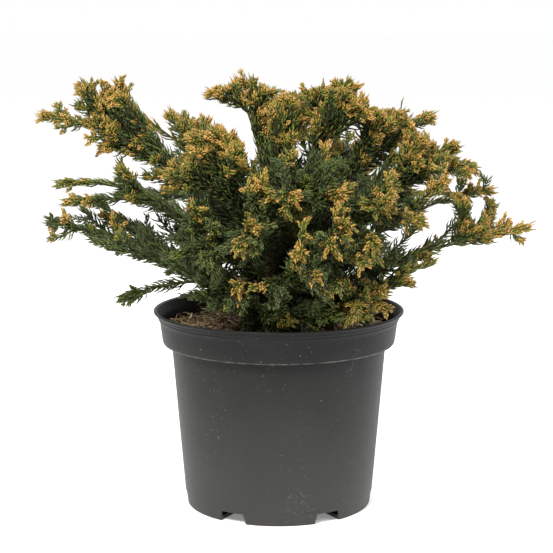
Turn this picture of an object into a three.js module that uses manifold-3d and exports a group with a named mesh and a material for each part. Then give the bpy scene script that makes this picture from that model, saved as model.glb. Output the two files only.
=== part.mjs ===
// A dwarf Japanese cedar in its nursery pot. Millimetres, +Z up, the front towards -Y.
// The origin is at the middle of the pot's flat underside.
// The pot is filled with soil. A short trunk stands on the soil and carries boughs, and each bough
// carries a mass of foliage: a forking stem with side shoots, all of them set with needles.
import * as THREE from 'three';
import { mergeVertices } from 'three/addons/utils/BufferGeometryUtils.js';
import Module from 'manifold-3d';

const clearance = 0.3; // between solids that rest on each other

const pot = {
  height: 150,
  rimRadius: 95,
  footRadius: 70.7,
  bodyTopRadius: 81.5, // under the collar's ledge
  shoulderHeight: 124.6,
  collarRadius: 88.3, // at the collar's lower edge
  collarBottom: 126.2,
  collarTopRadius: 90.3,
  lipBottom: 141,
  wall: 1.6,
  floor: 2.4,
  segments: 36,
};

const channel = {
  // drainage channels that part the underside into feet
  count: 6,
  turn: 31, // degrees from the front to the first one
  bottomWidth: 23,
  topWidth: 18,
  height: 8,
  length: 24,
  roof: 1.8, // thickness of its walls and roof
  mouth: 76, // radius past the pot's wall, where its cutter ends
};

const soil = { top: 137, seatRadius: 26, edgeDrop: 3 };

const trunk = {
  length: 62,
  footRadius: 12.5,
  neckRadius: 7.6,
  topRadius: 4.6,
  lean: [-4, 3], // how far its top stands from its foot
  sides: 10,
  lobes: 5,
  rings: [0, 0.05, 0.12, 0.22, 0.5, 1], // shares of its length
};

const bough = {
  rootRadius: 3.8,
  tipRadius: 2.4,
  sides: 5,
  rings: [0, 0.5, 1], // shares of its length
  sag: 8, // degrees flatter at its root than at its tip
  sunk: 3, // how far from the trunk's heart it starts
};

const shoot = {
  stemRadius: 1.9,
  forkRadius: 1.7,
  sideRadius: 1.5,
  tipRadius: 0.9,
  ringGap: 16, // the core's rings; a whorl of six needles stands between two of them
  needleLength: 16,
  tipNeedleLength: 9,
  needleLean: 40, // degrees off the shoot's own line
  tipNeedleLean: 42,
  needleRadius: 0.8, // room that a needle's foot needs
  crowding: 1.2, // how far needles of one mass may grow into each other
  sideSpacing: 40, // of stem to each side shoot
  sideStart: 0.3, // share of a stem that is bare of side shoots
  sideLean: 52, // degrees off the stem's line
  sideLength: 25,
  upturn: 0.25, // how far a side shoot turns up, as a share of its length
  spiral: 137.5, // degrees from one side shoot to the next
};

// Each row is a bough and the mass of foliage at its tip. Angles are compass angles: 0 right, 90 back,
// 180 left, 270 front. `rise` is the bough's angle above the level and `from` the share of the
// trunk's length at which it leaves. `tip` is where the mass's main stem ends: compass angle, reach
// from the pot's middle, height above its underside, and how far the stem bows upwards on its way.
// Each fork leaves the main stem at a share of its length, and ends at an angle, reach and height.
// `gold` is the share of the mass that has turned golden, and `bushy` thins the side shoots.
const masses = [
  {
    name: 'left_high', azimuth: 179, rise: 42, length: 46, from: 0.82,
    gold: 0.6, tip: [180, 175, 295, 18],
    forks: [[0.3, 185, 119, 320], [0.5, 177, 146, 318], [0.36, 178, 131, 275]],
  },
  {
    name: 'left_inner', azimuth: 156, rise: 50, length: 38, from: 0.9,
    gold: 0.5, tip: [154, 93, 293, 0],
    forks: [[0.3, 171, 101, 292]],
  },
  {
    name: 'left_mid', azimuth: 183, rise: 26, length: 50, from: 0.66,
    gold: 0.3, tip: [180, 164, 245, 23],
    forks: [[0.5, 180, 118, 260], [0.4, 185, 158, 232]],
  },
  {
    name: 'left_low', azimuth: 176, rise: 14, length: 48, from: 0.46,
    gold: 0.2, tip: [183, 171, 218, 0],
    forks: [[0.2, 172, 139, 231], [0.6, 176, 148, 224]],
  },
  {
    name: 'left_under', azimuth: 198, rise: 14, length: 46, from: 0.34,
    gold: 0, bushy: 0.3, tip: [197, 138, 206, 6],
    forks: [[0.08, 200, 122, 165]],
  },
  {
    name: 'front_left_high', azimuth: 226, rise: 50, length: 42, from: 0.78,
    gold: 0.8, tip: [232, 76, 288, 0],
    forks: [[0.35, 219, 80, 283], [0.3, 247, 76, 276], [0.2, 209, 92, 258]],
  },
  {
    name: 'front_left', azimuth: 238, rise: 26, length: 36, from: 0.55,
    gold: 0.2, tip: [230, 112, 204, 6],
    forks: [[0.3, 244, 117, 205], [0.2, 236, 109, 239]],
  },
  {
    name: 'front_centre', azimuth: 260, rise: 28, length: 34, from: 0.68,
    gold: 0.6, tip: [258, 131, 216, 6],
    forks: [[0.4, 260, 120, 231], [0.2, 262, 81, 256]],
  },
  {
    name: 'top_left', azimuth: 190, rise: 85, length: 40, from: 0.96,
    gold: 0.8, tip: [189, 32, 320, 0],
    forks: [[0.75, 197, 51, 313], [0.4, 158, 13, 318]],
  },
  {
    name: 'top_mid', azimuth: 290, rise: 72, length: 34, from: 0.98,
    gold: 0.7, tip: [284, 15, 310, 0],
    forks: [[0.4, 51, 26, 307]],
  },
  {
    name: 'top_right', azimuth: 350, rise: 66, length: 42, from: 0.93,
    gold: 0.7, tip: [349, 52, 320, 0],
    forks: [[0.4, 0, 31, 317], [0.4, 335, 70, 308]],
  },
  {
    name: 'right_top', azimuth: 5, rise: 50, length: 44, from: 0.78,
    gold: 0.7, tip: [8, 115, 295, 8],
    forks: [[0.45, 3, 92, 302], [0.3, 340, 76, 299]],
  },
  {
    name: 'right_high', azimuth: 352, rise: 36, length: 48, from: 0.64,
    gold: 0.6, tip: [352, 144, 261, 15],
    forks: [[0.5, 0, 131, 276], [0.35, 344, 109, 280]],
  },
  {
    name: 'right_mid', azimuth: 6, rise: 20, length: 50, from: 0.5,
    gold: 0.3, tip: [4, 160, 239, 19],
    forks: [[0.15, 333, 134, 254]],
  },
  {
    name: 'right_end', azimuth: 354, rise: 16, length: 46, from: 0.34,
    gold: 0.5, tip: [357, 186, 213, 3],
    forks: [[0.66, 3, 162, 225], [0.66, 353, 157, 205], [0.6, 356, 140, 232]],
  },
  {
    name: 'right_bend', azimuth: 318, rise: 34, length: 36, from: 0.72,
    gold: 0.6, tip: [326, 125, 225, 6],
    forks: [[0.3, 312, 114, 243], [0.25, 301, 129, 215]],
  },
  {
    name: 'right_low', azimuth: 332, rise: 4, length: 42, from: 0.24,
    gold: 0.5, tip: [340, 119, 192, 4],
    forks: [[0.3, 328, 112, 179]],
  },
  {
    name: 'front_rim', azimuth: 308, rise: 6, length: 34, from: 0.2,
    gold: 0.9, tip: [315, 106, 176, 2],
    forks: [[0.3, 303, 101, 167]],
  },
  {
    name: 'front_right', azimuth: 292, rise: 24, length: 34, from: 0.48,
    gold: 0.6, tip: [298, 126, 203, 6],
    forks: [[0.35, 286, 127, 217], [0.3, 292, 119, 230]],
  },
  {
    name: 'front_mid', azimuth: 276, rise: 14, length: 34, from: 0.38,
    gold: 0.6, tip: [281, 130, 196, 6],
    forks: [[0.35, 275, 131, 211], [0.2, 262, 124, 187], [0.25, 289, 104, 184]],
  },
  {
    name: 'front_foot', azimuth: 256, rise: 4, length: 30, from: 0.2,
    gold: 0, tip: [239, 91, 162, 4],
    forks: [[0.1, 274, 84, 156], [0.05, 297, 94, 160]],
  },
  {
    name: 'front_high', azimuth: 282, rise: 46, length: 34, from: 0.86,
    gold: 0.4, tip: [275, 108, 246, 4],
    forks: [[0.3, 297, 86, 266], [0.25, 296, 100, 248]],
  },
  {
    name: 'front_low', azimuth: 228, rise: 8, length: 34, from: 0.22,
    gold: 0.1, tip: [232, 92, 184, 2],
    forks: [[0.15, 216, 100, 199], [0.2, 255, 104, 185]],
  },
  {
    name: 'back_high', azimuth: 95, rise: 58, length: 40, from: 0.88,
    gold: 0.6, tip: [100, 84, 296, 0],
    forks: [[0.3, 66, 74, 300], [0.12, 146, 88, 272]],
  },
  {
    name: 'back_left', azimuth: 132, rise: 32, length: 44, from: 0.72,
    gold: 0.4, tip: [128, 138, 250, 4],
    forks: [[0.3, 146, 150, 226], [0.35, 116, 122, 274]],
  },
  {
    name: 'back_mid', azimuth: 98, rise: 20, length: 44, from: 0.5,
    gold: 0.3, tip: [100, 140, 224, 4],
    forks: [[0.3, 84, 130, 246], [0.3, 114, 128, 196]],
  },
  {
    name: 'back_right', azimuth: 52, rise: 30, length: 44, from: 0.62,
    gold: 0.4, tip: [56, 138, 248, 4],
    forks: [[0.3, 38, 146, 228], [0.35, 68, 124, 272]],
  },
  {
    name: 'back_low', azimuth: 76, rise: 6, length: 42, from: 0.28,
    gold: 0.1, tip: [76, 124, 186, 2],
    forks: [[0.2, 48, 128, 184], [0.2, 110, 112, 172]],
  },
];

const wasm = await Module();
wasm.setup();

const up = new THREE.Vector3(0, 0, 1);
const degrees = THREE.MathUtils.degToRad;

// Solids and geometries

function toSolid(geometry) {
  const bare = new THREE.BufferGeometry().setAttribute('position', geometry.getAttribute('position'));
  if (geometry.index) bare.setIndex(geometry.index);
  const merged = mergeVertices(bare, 1e-3);
  return new wasm.Manifold(
    new wasm.Mesh({
      numProp: 3,
      vertProperties: new Float32Array(merged.attributes.position.array),
      triVerts: new Uint32Array(merged.index.array),
    }),
  );
}

function toGeometry(solid) {
  const mesh = solid.getMesh();
  const geometry = new THREE.BufferGeometry();
  geometry.setAttribute('position', new THREE.BufferAttribute(mesh.vertProperties, 3));
  geometry.setIndex(new THREE.BufferAttribute(mesh.triVerts, 1));
  geometry.computeVertexNormals();
  return geometry;
}

function fromVertices(vertices, triangles) {
  const geometry = new THREE.BufferGeometry().setFromPoints(vertices);
  geometry.setIndex(triangles);
  return geometry;
}

// Random numbers that are the same for the same seed.
function seeded(seed) {
  let state = (seed * 2654435761) >>> 0;
  return () => {
    state = (Math.imul(state, 1664525) + 1013904223) >>> 0;
    return state / 4294967296;
  };
}

// Pot and soil

function turned(profile) {
  const points = profile.map(([radius, height]) => new THREE.Vector2(radius, height));
  return toSolid(new THREE.LatheGeometry(points, pot.segments).rotateX(Math.PI / 2));
}

// A drainage channel's trapezium, grown on every side but its foot, run along a radius of the pot.
function channelBlock(angle, grown, outerRadius) {
  const half = channel.bottomWidth / 2 + grown;
  const halfTop = channel.topWidth / 2 + grown;
  const depth = 1 + grown;
  const shape = new THREE.Shape();
  shape.moveTo(-half, -depth);
  shape.lineTo(half, -depth);
  shape.lineTo(halfTop, channel.height + grown);
  shape.lineTo(-halfTop, channel.height + grown);
  const innerRadius = pot.footRadius - channel.length - grown;
  const block = new THREE.ExtrudeGeometry(shape, { depth: outerRadius - innerRadius, bevelEnabled: false });
  return toSolid(block.rotateX(Math.PI / 2).translate(0, -innerRadius, 0).rotateZ(degrees(angle)));
}

function channelAngles() {
  return Array.from({ length: channel.count }, (_, i) => channel.turn + (i * 360) / channel.count);
}

function makePot() {
  const { wall } = pot;
  const outside = [
    [0, 0],
    [pot.footRadius - 1, 0],
    [pot.footRadius, 0.8],
    [pot.footRadius + 1.2, 11],
    [pot.bodyTopRadius, pot.shoulderHeight],
    [pot.collarRadius - 1, pot.shoulderHeight + 0.2],
    [pot.collarRadius, pot.collarBottom],
    [pot.collarTopRadius, pot.lipBottom],
    [pot.rimRadius - 1.2, pot.height - 3],
    [pot.rimRadius, pot.height - 0.8],
  ];
  const inside = [
    [pot.rimRadius - 1.2, pot.height],
    [pot.rimRadius - 2.6, pot.height - 0.6],
    [pot.collarTopRadius - wall, pot.lipBottom + 1.5],
    [pot.collarRadius - wall, pot.collarBottom + 0.8],
    [pot.bodyTopRadius - wall, pot.shoulderHeight + wall],
    [pot.footRadius - wall, pot.floor],
    [0, pot.floor],
  ];
  let solid = turned([...outside, ...inside]);
  const filled = turned([...outside, [0, pot.height]]);
  for (const angle of channelAngles()) {
    const hood = channelBlock(angle, channel.roof, channel.mouth).intersect(filled);
    solid = solid.add(hood);
  }
  for (const angle of channelAngles()) {
    solid = solid.subtract(channelBlock(angle, 0, channel.mouth));
  }
  return solid;
}

// Wet soil stands on the floor and on the channels' roofs.
function makeSoil() {
  const gap = pot.wall + clearance;
  const roofRadius = pot.footRadius - channel.length - channel.roof - clearance;
  const roofTop = channel.height + channel.roof + clearance;
  return turned([
    [0, pot.floor + clearance],
    [roofRadius - 1, pot.floor + clearance],
    [roofRadius - 1, roofTop],
    [pot.footRadius - gap, roofTop],
    [pot.bodyTopRadius - gap - 0.2, pot.shoulderHeight + gap],
    [pot.collarRadius - gap - 0.2, pot.collarBottom + 1.2],
    [pot.collarRadius - gap + 0.7, soil.top - soil.edgeDrop],
    [soil.seatRadius, soil.top],
    [0, soil.top],
  ]);
}

function soilHeight(radius) {
  const share = (radius - soil.seatRadius) / (pot.collarRadius - pot.wall - soil.seatRadius);
  return soil.top - soil.edgeDrop * THREE.MathUtils.clamp(share, 0, 1);
}

// Wood: a tapering limb along a curve, closed at both ends

function limbSolid(curve, shares, sides, radiusAt) {
  const steps = 100;
  const frames = curve.computeFrenetFrames(steps, false);
  const vertices = [];
  const triangles = [];
  for (const share of shares) {
    const centre = curve.getPointAt(share);
    const step = Math.round(share * steps);
    for (let j = 0; j < sides; j++) {
      const angle = (j / sides) * 2 * Math.PI;
      const radius = radiusAt(share, angle);
      const offset = frames.normals[step].clone().multiplyScalar(radius * Math.cos(angle));
      offset.addScaledVector(frames.binormals[step], radius * Math.sin(angle));
      vertices.push(centre.clone().add(offset));
    }
  }
  for (let i = 0; i < shares.length - 1; i++) {
    for (let j = 0; j < sides; j++) {
      const a = i * sides + j;
      const b = i * sides + ((j + 1) % sides);
      triangles.push(a, b, b + sides, a, b + sides, a + sides);
    }
  }
  for (let j = 1; j < sides - 1; j++) {
    const last = (shares.length - 1) * sides;
    triangles.push(0, j + 1, j, last, last + j, last + j + 1);
  }
  return toSolid(fromVertices(vertices, triangles));
}

const ground = soil.top + clearance;
const trunkLine = new THREE.QuadraticBezierCurve3(
  new THREE.Vector3(0, 0, ground),
  new THREE.Vector3(0, 0, ground + trunk.length / 2),
  new THREE.Vector3(trunk.lean[0], trunk.lean[1], ground + trunk.length),
);

// The trunk tapers from its neck to the fork, and flares below into lobed roots.
function trunkRadius(share, angle, grown = 0) {
  const taper = THREE.MathUtils.lerp(trunk.neckRadius, trunk.topRadius, share);
  const flare = (trunk.footRadius - trunk.neckRadius) * Math.exp(-share * 14);
  return taper + flare * (1 + 0.3 * Math.cos(trunk.lobes * angle)) + grown;
}

function makeTrunk(grown = 0) {
  return limbSolid(trunkLine, trunk.rings, trunk.sides, (share, angle) => trunkRadius(share, angle, grown));
}

function direction(azimuth, rise) {
  const level = Math.cos(degrees(rise));
  return new THREE.Vector3(
    level * Math.cos(degrees(azimuth)),
    level * Math.sin(degrees(azimuth)),
    Math.sin(degrees(rise)),
  );
}

// A bough starts inside the trunk, a little flatter than it ends.
function boughLine({ azimuth, rise, length, from }) {
  const start = trunkLine.getPointAt(from).addScaledVector(direction(azimuth, 0), bough.sunk);
  const middle = start.clone().addScaledVector(direction(azimuth, rise - bough.sag), length / 2);
  const end = start.clone().addScaledVector(direction(azimuth, rise), length);
  return new THREE.QuadraticBezierCurve3(start, middle, end);
}

function makeBough(line, grown = 0) {
  const radiusAt = (share) => THREE.MathUtils.lerp(bough.rootRadius, bough.tipRadius, share) + grown;
  return limbSolid(line, bough.rings, bough.sides, radiusAt);
}

// Room: spheres along everything that has been placed, so that the next piece can keep clear of it

const cellSize = 6;
const potMargin = 0.6;
const placed = new Map();

function cellOf(value) {
  return Math.floor(value / cellSize);
}

function claim(owner, piece, spheres) {
  for (const sphere of spheres) {
    const key = `${cellOf(sphere.x)},${cellOf(sphere.y)},${cellOf(sphere.z)}`;
    if (!placed.has(key)) placed.set(key, []);
    placed.get(key).push({ ...sphere, owner, piece });
  }
}

function clearOfPot(sphere) {
  const radius = Math.hypot(sphere.x, sphere.y);
  const lowest = sphere.z - sphere.r - potMargin;
  if (radius + sphere.r + potMargin < pot.collarRadius - pot.wall) return lowest > soilHeight(radius);
  return lowest > pot.height;
}

// Whether spheres keep clear of the pot and of what is placed. The spheres of a mass's own pieces
// may touch those of `ignored`, which is one piece or 'all'.
function hasRoom(owner, ignored, spheres) {
  for (const sphere of spheres) {
    if (!clearOfPot(sphere)) return false;
    const [i, j, k] = [cellOf(sphere.x), cellOf(sphere.y), cellOf(sphere.z)];
    for (let x = i - 1; x <= i + 1; x++) {
      for (let y = j - 1; y <= j + 1; y++) {
        for (let z = k - 1; z <= k + 1; z++) {
          for (const other of placed.get(`${x},${y},${z}`) ?? []) {
            if (other.owner === owner && (ignored === 'all' || other.piece === ignored)) continue;
            const apart = Math.hypot(sphere.x - other.x, sphere.y - other.y, sphere.z - other.z);
            const gap = other.owner === owner ? -shoot.crowding : clearance;
            if (apart < sphere.r + other.r + gap) return false;
          }
        }
      }
    }
  }
  return true;
}

// Spheres every millimetre along a curve, their radius running from one size to another.
function spheresAlong(curve, fromRadius, toRadius = fromRadius) {
  const steps = Math.max(2, Math.ceil(curve.getLength()));
  return Array.from({ length: steps + 1 }, (_, i) => {
    const { x, y, z } = curve.getPointAt(i / steps);
    return { x, y, z, r: THREE.MathUtils.lerp(fromRadius, toRadius, i / steps) };
  });
}

// Foliage

function tipPoint([azimuth, reach, height]) {
  return direction(azimuth, 0).multiplyScalar(reach).setZ(height);
}

// A stem sets out partly along the limb that carries it, and bends round to its own tip.
function stemLine(start, along, tip, share, lift = 0) {
  const way = tip.clone().sub(start);
  const length = way.length();
  const first = along.clone().multiplyScalar(share).addScaledVector(way.normalize(), 1 - share).normalize();
  const middle = start.clone().addScaledVector(first, length / 2).addScaledVector(up, lift);
  return new THREE.QuadraticBezierCurve3(start, middle, tip);
}

function stemsOf(mass, line) {
  const seat = line.getPointAt(1).addScaledVector(line.getTangentAt(1), clearance);
  const main = stemLine(seat, line.getTangentAt(1), tipPoint(mass.tip), 0.6, mass.tip[3]);
  const forks = mass.forks.map(([from, ...tip]) =>
    stemLine(main.getPointAt(from), main.getTangentAt(from), tipPoint(tip), 0.35),
  );
  return [main, ...forks];
}

// Side shoots wind round a stem, shorter towards its tip, and turn up.
function sideShoots(stem, random, bushy = 1) {
  const stemLength = stem.getLength();
  const count = Math.max(1, Math.round((bushy * stemLength * (1 - shoot.sideStart)) / shoot.sideSpacing));
  const turn = random() * 360;
  return Array.from({ length: count }, (_, i) => {
    const share = shoot.sideStart + ((1 - shoot.sideStart) * (i + 0.7)) / (count + 0.2);
    const along = stem.getTangentAt(share);
    const side = new THREE.Vector3().crossVectors(along, up).normalize();
    const above = new THREE.Vector3().crossVectors(side, along);
    const angle = degrees(turn + i * shoot.spiral + 40 * random());
    const length = shoot.sideLength * (1.15 - 0.4 * share) * (0.75 + 0.5 * random());
    const lean = degrees(shoot.sideLean);
    const heading = along.multiplyScalar(Math.cos(lean)).addScaledVector(side, Math.sin(lean) * Math.cos(angle));
    heading.addScaledVector(above, Math.sin(lean) * Math.sin(angle));
    const root = stem.getPointAt(share);
    const end = root.clone().addScaledVector(heading, length).addScaledVector(up, length * shoot.upturn);
    return new THREE.QuadraticBezierCurve3(root, root.clone().addScaledVector(heading, length / 2), end);
  });
}

// A shoot is a three-sided core whose rings are turned by half a side each time. From every face
// between two rings, and round the tip, stands a needle, unless it has no room.
function shootSolid(owner, piece, curve, rootRadius, turn) {
  const rings = Math.max(2, Math.round(curve.getLength() / shoot.ringGap));
  const frames = curve.computeFrenetFrames(rings, false);
  const outward = (ring, side) => {
    const angle = turn + ((side + ring / 2) * 2 * Math.PI) / 3;
    const across = frames.normals[ring].clone().multiplyScalar(Math.cos(angle));
    return across.addScaledVector(frames.binormals[ring], Math.sin(angle));
  };
  const vertices = [];
  for (let ring = 0; ring < rings; ring++) {
    const radius = THREE.MathUtils.lerp(rootRadius, shoot.tipRadius, ring / rings);
    for (let side = 0; side < 3; side++) {
      vertices.push(curve.getPointAt(ring / rings).addScaledVector(outward(ring, side), radius));
    }
  }
  const corner = (ring, side) => ring * 3 + (side % 3);
  const end = vertices.push(curve.getPointAt(1)) - 1;
  const triangles = [corner(0, 0), corner(0, 2), corner(0, 1)];
  const setNeedle = (foot, ring, side) => {
    const share = (ring / rings) ** 2;
    const length = THREE.MathUtils.lerp(shoot.needleLength, shoot.tipNeedleLength, share);
    const lean = degrees(THREE.MathUtils.lerp(shoot.needleLean, shoot.tipNeedleLean, share));
    const tip = foot.reduce((sum, at) => sum.addScaledVector(vertices[at], 1 / 3), new THREE.Vector3());
    tip.addScaledVector(outward(ring, side + 0.5), length * Math.sin(lean));
    tip.addScaledVector(frames.tangents[ring], length * Math.cos(lean));
    const edges = foot.map((at) => new THREE.LineCurve3(vertices[at], tip));
    const room = edges.flatMap((edge) => spheresAlong(edge, shoot.needleRadius, 0.4));
    if (!hasRoom(owner, piece, room)) return triangles.push(...foot);
    claim(owner, piece, room);
    const point = vertices.push(tip) - 1;
    return triangles.push(foot[0], foot[1], point, foot[1], foot[2], point, foot[2], foot[0], point);
  };
  for (let ring = 0; ring < rings - 1; ring++) {
    for (let side = 0; side < 3; side++) {
      setNeedle([corner(ring, side), corner(ring, side + 1), corner(ring + 1, side)], ring, side);
      setNeedle([corner(ring, side + 1), corner(ring + 1, side + 1), corner(ring + 1, side)], ring + 1, side);
    }
  }
  for (let side = 0; side < 3; side++) {
    setNeedle([corner(rings - 1, side), corner(rings - 1, side + 1), end], rings - 1, side);
  }
  return toSolid(fromVertices(vertices, triangles));
}

// A cut can leave a scrap on the far side of a limb, which is dropped.
function largestBody(solid) {
  return solid.decompose().reduce((best, body) => (body.volume() > best.volume() ? body : best));
}

// Assembly

const plastic = new THREE.MeshStandardMaterial({ color: 0x3a3b3a, roughness: 0.6 });
const earth = new THREE.MeshStandardMaterial({ color: 0x5a4029, roughness: 1 });
const bark = new THREE.MeshStandardMaterial({ color: 0x6b4a33, roughness: 0.9 });

const group = new THREE.Group();

function addMesh(name, solid, material) {
  const mesh = new THREE.Mesh(toGeometry(solid), material);
  mesh.name = name;
  group.add(mesh);
}

addMesh('pot', makePot(), plastic);
addMesh('soil', makeSoil(), earth);
addMesh('trunk', makeTrunk(), bark);
claim('trunk', 'trunk', spheresAlong(trunkLine, trunkRadius(0.1, 0), trunkRadius(1, 0)));

const wood = [makeTrunk(clearance)];
const grown = masses.map((mass, index) => {
  const line = boughLine(mass);
  const clear = wood.reduce((solid, other) => solid.subtract(other), makeBough(line));
  addMesh(`bough_${mass.name}`, largestBody(clear), bark);
  wood.push(makeBough(line, clearance));
  claim(mass.name, 'bough', spheresAlong(line, bough.rootRadius, bough.tipRadius));
  return { mass, line, random: seeded(index + 1) };
});

// All stems take their room first, then the side shoots, then the needles one mass after another.
for (const entry of grown) {
  const stems = stemsOf(entry.mass, entry.line);
  entry.shoots = stems.map((curve, i) => ({ curve, radius: i ? shoot.forkRadius : shoot.stemRadius }));
  stems.forEach((curve, i) => claim(entry.mass.name, i, spheresAlong(curve, shoot.stemRadius)));
}
for (const { mass, shoots, random } of grown) {
  const sides = shoots.flatMap(({ curve }) => sideShoots(curve, random, mass.bushy));
  for (const curve of sides) {
    const room = spheresAlong(curve, shoot.sideRadius + 0.3);
    const ownRoom = room.slice(Math.ceil(shoot.stemRadius + shoot.sideRadius + 4));
    if (!hasRoom(mass.name, 'all', room) || !hasRoom(mass.name, 'none', ownRoom)) continue;
    claim(mass.name, shoots.length, room);
    shoots.push({ curve, radius: shoot.sideRadius });
  }
}
for (const { mass, shoots, random } of grown) {
  const pieces = shoots.map(({ curve, radius }, piece) =>
    shootSolid(mass.name, piece, curve, radius, random() * 2 * Math.PI),
  );
  const joined = pieces.reduce((solid, piece) => solid.add(piece));
  const clear = wood.reduce((solid, limb) => solid.subtract(limb), joined);
  const color = new THREE.Color(0x47602f).lerp(new THREE.Color(0xbd8f45), mass.gold * 0.7);
  addMesh(`foliage_${mass.name}`, largestBody(clear), new THREE.MeshStandardMaterial({ color, roughness: 0.7 }));
}

export default group;
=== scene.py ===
import math

import bmesh
import bpy
import numpy as np
from mathutils import Matrix, Vector, noise


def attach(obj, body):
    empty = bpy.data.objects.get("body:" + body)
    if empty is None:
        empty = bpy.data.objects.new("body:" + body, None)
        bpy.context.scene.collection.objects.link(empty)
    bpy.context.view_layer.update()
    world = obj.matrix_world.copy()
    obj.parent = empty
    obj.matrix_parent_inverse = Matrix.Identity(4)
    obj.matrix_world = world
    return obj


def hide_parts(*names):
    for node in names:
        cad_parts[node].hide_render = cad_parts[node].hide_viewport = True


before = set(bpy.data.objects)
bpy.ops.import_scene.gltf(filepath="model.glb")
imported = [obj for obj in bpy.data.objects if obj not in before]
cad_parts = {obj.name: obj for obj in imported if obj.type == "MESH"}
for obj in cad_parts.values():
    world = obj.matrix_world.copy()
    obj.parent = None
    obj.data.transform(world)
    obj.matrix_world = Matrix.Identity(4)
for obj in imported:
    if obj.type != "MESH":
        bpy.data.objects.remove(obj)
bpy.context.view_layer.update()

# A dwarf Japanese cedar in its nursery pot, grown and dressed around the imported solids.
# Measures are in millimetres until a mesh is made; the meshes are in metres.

print("frame:", len(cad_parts), "solids")

mm = 0.001
upWay = np.array([0.0, 0.0, 1.0])


# Camera, light and floor

view = {
    "place": (-1.7, -1222.2, 375.4),
    "pitch": 9.34,  # degrees below the level
    "focalPixels": 1633.8,
    "imagePixels": 553,
    "sensor": 36,
    "furthest": 20,  # metres
}
light = {
    "sky": (1.0, 1.0, 1.0),
    "front": (0.24, 0.24, 0.245),  # the darker side of the studio, behind the camera
    "frontTurn": (-0.7, 0.0),
    "skyStrength": 1.0,
    "aim": (0, 0, 170),
    "key": {"place": (-500, -1200, 1400), "size": 600, "power": 42, "colour": (1.0, 0.985, 0.95)},
    "fill": {"place": (1100, -600, 900), "size": 700, "power": 8, "colour": (0.97, 0.985, 1.0)},
    "rim": {"place": (300, 1100, 1100), "size": 900, "power": 8, "colour": (1.0, 1.0, 1.0)},
    "floorTone": (0.97, 0.97, 0.97),
    "floorGlow": 0.22,
    "floorSize": 40,  # metres
}


def addCamera():
    camera = bpy.data.objects.new("camera", bpy.data.cameras.new("camera"))
    camera.data.sensor_width = view["sensor"]
    camera.data.lens = view["sensor"] * view["focalPixels"] / view["imagePixels"]
    camera.data.clip_end = view["furthest"]
    camera.location = Vector(view["place"]) * mm
    camera.rotation_euler = (math.radians(90 - view["pitch"]), 0, 0)
    bpy.context.collection.objects.link(camera)
    bpy.context.scene.camera = camera


def addLamp(name, settings):
    lamp = bpy.data.lights.new(name, "AREA")
    lamp.energy = settings["power"]
    lamp.color = settings["colour"]
    lamp.shape = "DISK"
    lamp.size = settings["size"] * mm
    holder = bpy.data.objects.new(name, lamp)
    holder.location = Vector(settings["place"]) * mm
    aim = Vector(light["aim"]) * mm - holder.location
    holder.rotation_euler = aim.to_track_quat("-Z", "Y").to_euler()
    bpy.context.collection.objects.link(holder)


# white all round, darker behind the camera
def addSky():
    world = bpy.data.worlds.new("paleStudio")
    world.use_nodes = True
    tree = world.node_tree
    place = addNode(tree, "ShaderNodeTexCoord").outputs["Generated"]
    heading = addNode(tree, "ShaderNodeSeparateXYZ", {"Vector": place}).outputs["Y"]
    mask = maskBetween(tree, heading, *light["frontTurn"])
    background = tree.nodes["Background"]
    feed(tree, background.inputs["Color"], blendTones(tree, mask, light["front"], light["sky"]))
    feed(tree, background.inputs["Strength"], light["skyStrength"])
    bpy.context.scene.world = world
    bpy.context.scene.view_settings.view_transform = "Standard"


# Materials

def newMaterial(name, roughness=0.6, specular=0.35):
    material = bpy.data.materials.new(name)
    material.use_nodes = True
    shader = material.node_tree.nodes["Principled BSDF"]
    shader.inputs["Roughness"].default_value = roughness
    shader.inputs["Specular IOR Level"].default_value = specular
    return material, material.node_tree, shader


# a link from another socket, or a plain value or colour
def feed(tree, socket, value):
    if isinstance(value, bpy.types.NodeSocket):
        tree.links.new(value, socket)
    else:
        socket.default_value = (*value, 1) if socket.type == "RGBA" else value


def addNode(tree, kind, inputs=None, **settings):
    made = tree.nodes.new(kind)
    for key, value in settings.items():
        setattr(made, key, value)
    for key, value in (inputs or {}).items():
        feed(tree, made.inputs[key], value)
    return made


def objectPlace(tree, scale=(1, 1, 1)):
    place = addNode(tree, "ShaderNodeTexCoord").outputs["Object"]
    if scale == (1, 1, 1):
        return place
    return addNode(tree, "ShaderNodeMapping", {"Vector": place, "Scale": scale}).outputs["Vector"]


# a mask that runs from bottom at low to top at high
def maskBetween(tree, value, low, high, top=1.0, bottom=0.0):
    spread = {"Value": value, "From Min": low, "From Max": high, "To Min": bottom, "To Max": top}
    return addNode(tree, "ShaderNodeMapRange", spread).outputs["Result"]


# noise as such a mask
def patches(tree, place, scale, low, high, detail=4.0, top=1.0):
    cloud = addNode(tree, "ShaderNodeTexNoise", {"Vector": place, "Scale": scale, "Detail": detail})
    return maskBetween(tree, cloud.outputs["Fac"], low, high, top)


def joinMasks(tree, first, second, operation="MAXIMUM"):
    return addNode(tree, "ShaderNodeMath", {0: first, 1: second}, operation=operation).outputs["Value"]


def blendTones(tree, mask, first, second):
    return addNode(tree, "ShaderNodeMix", {0: mask, 6: first, 7: second}, data_type="RGBA").outputs[2]


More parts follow.
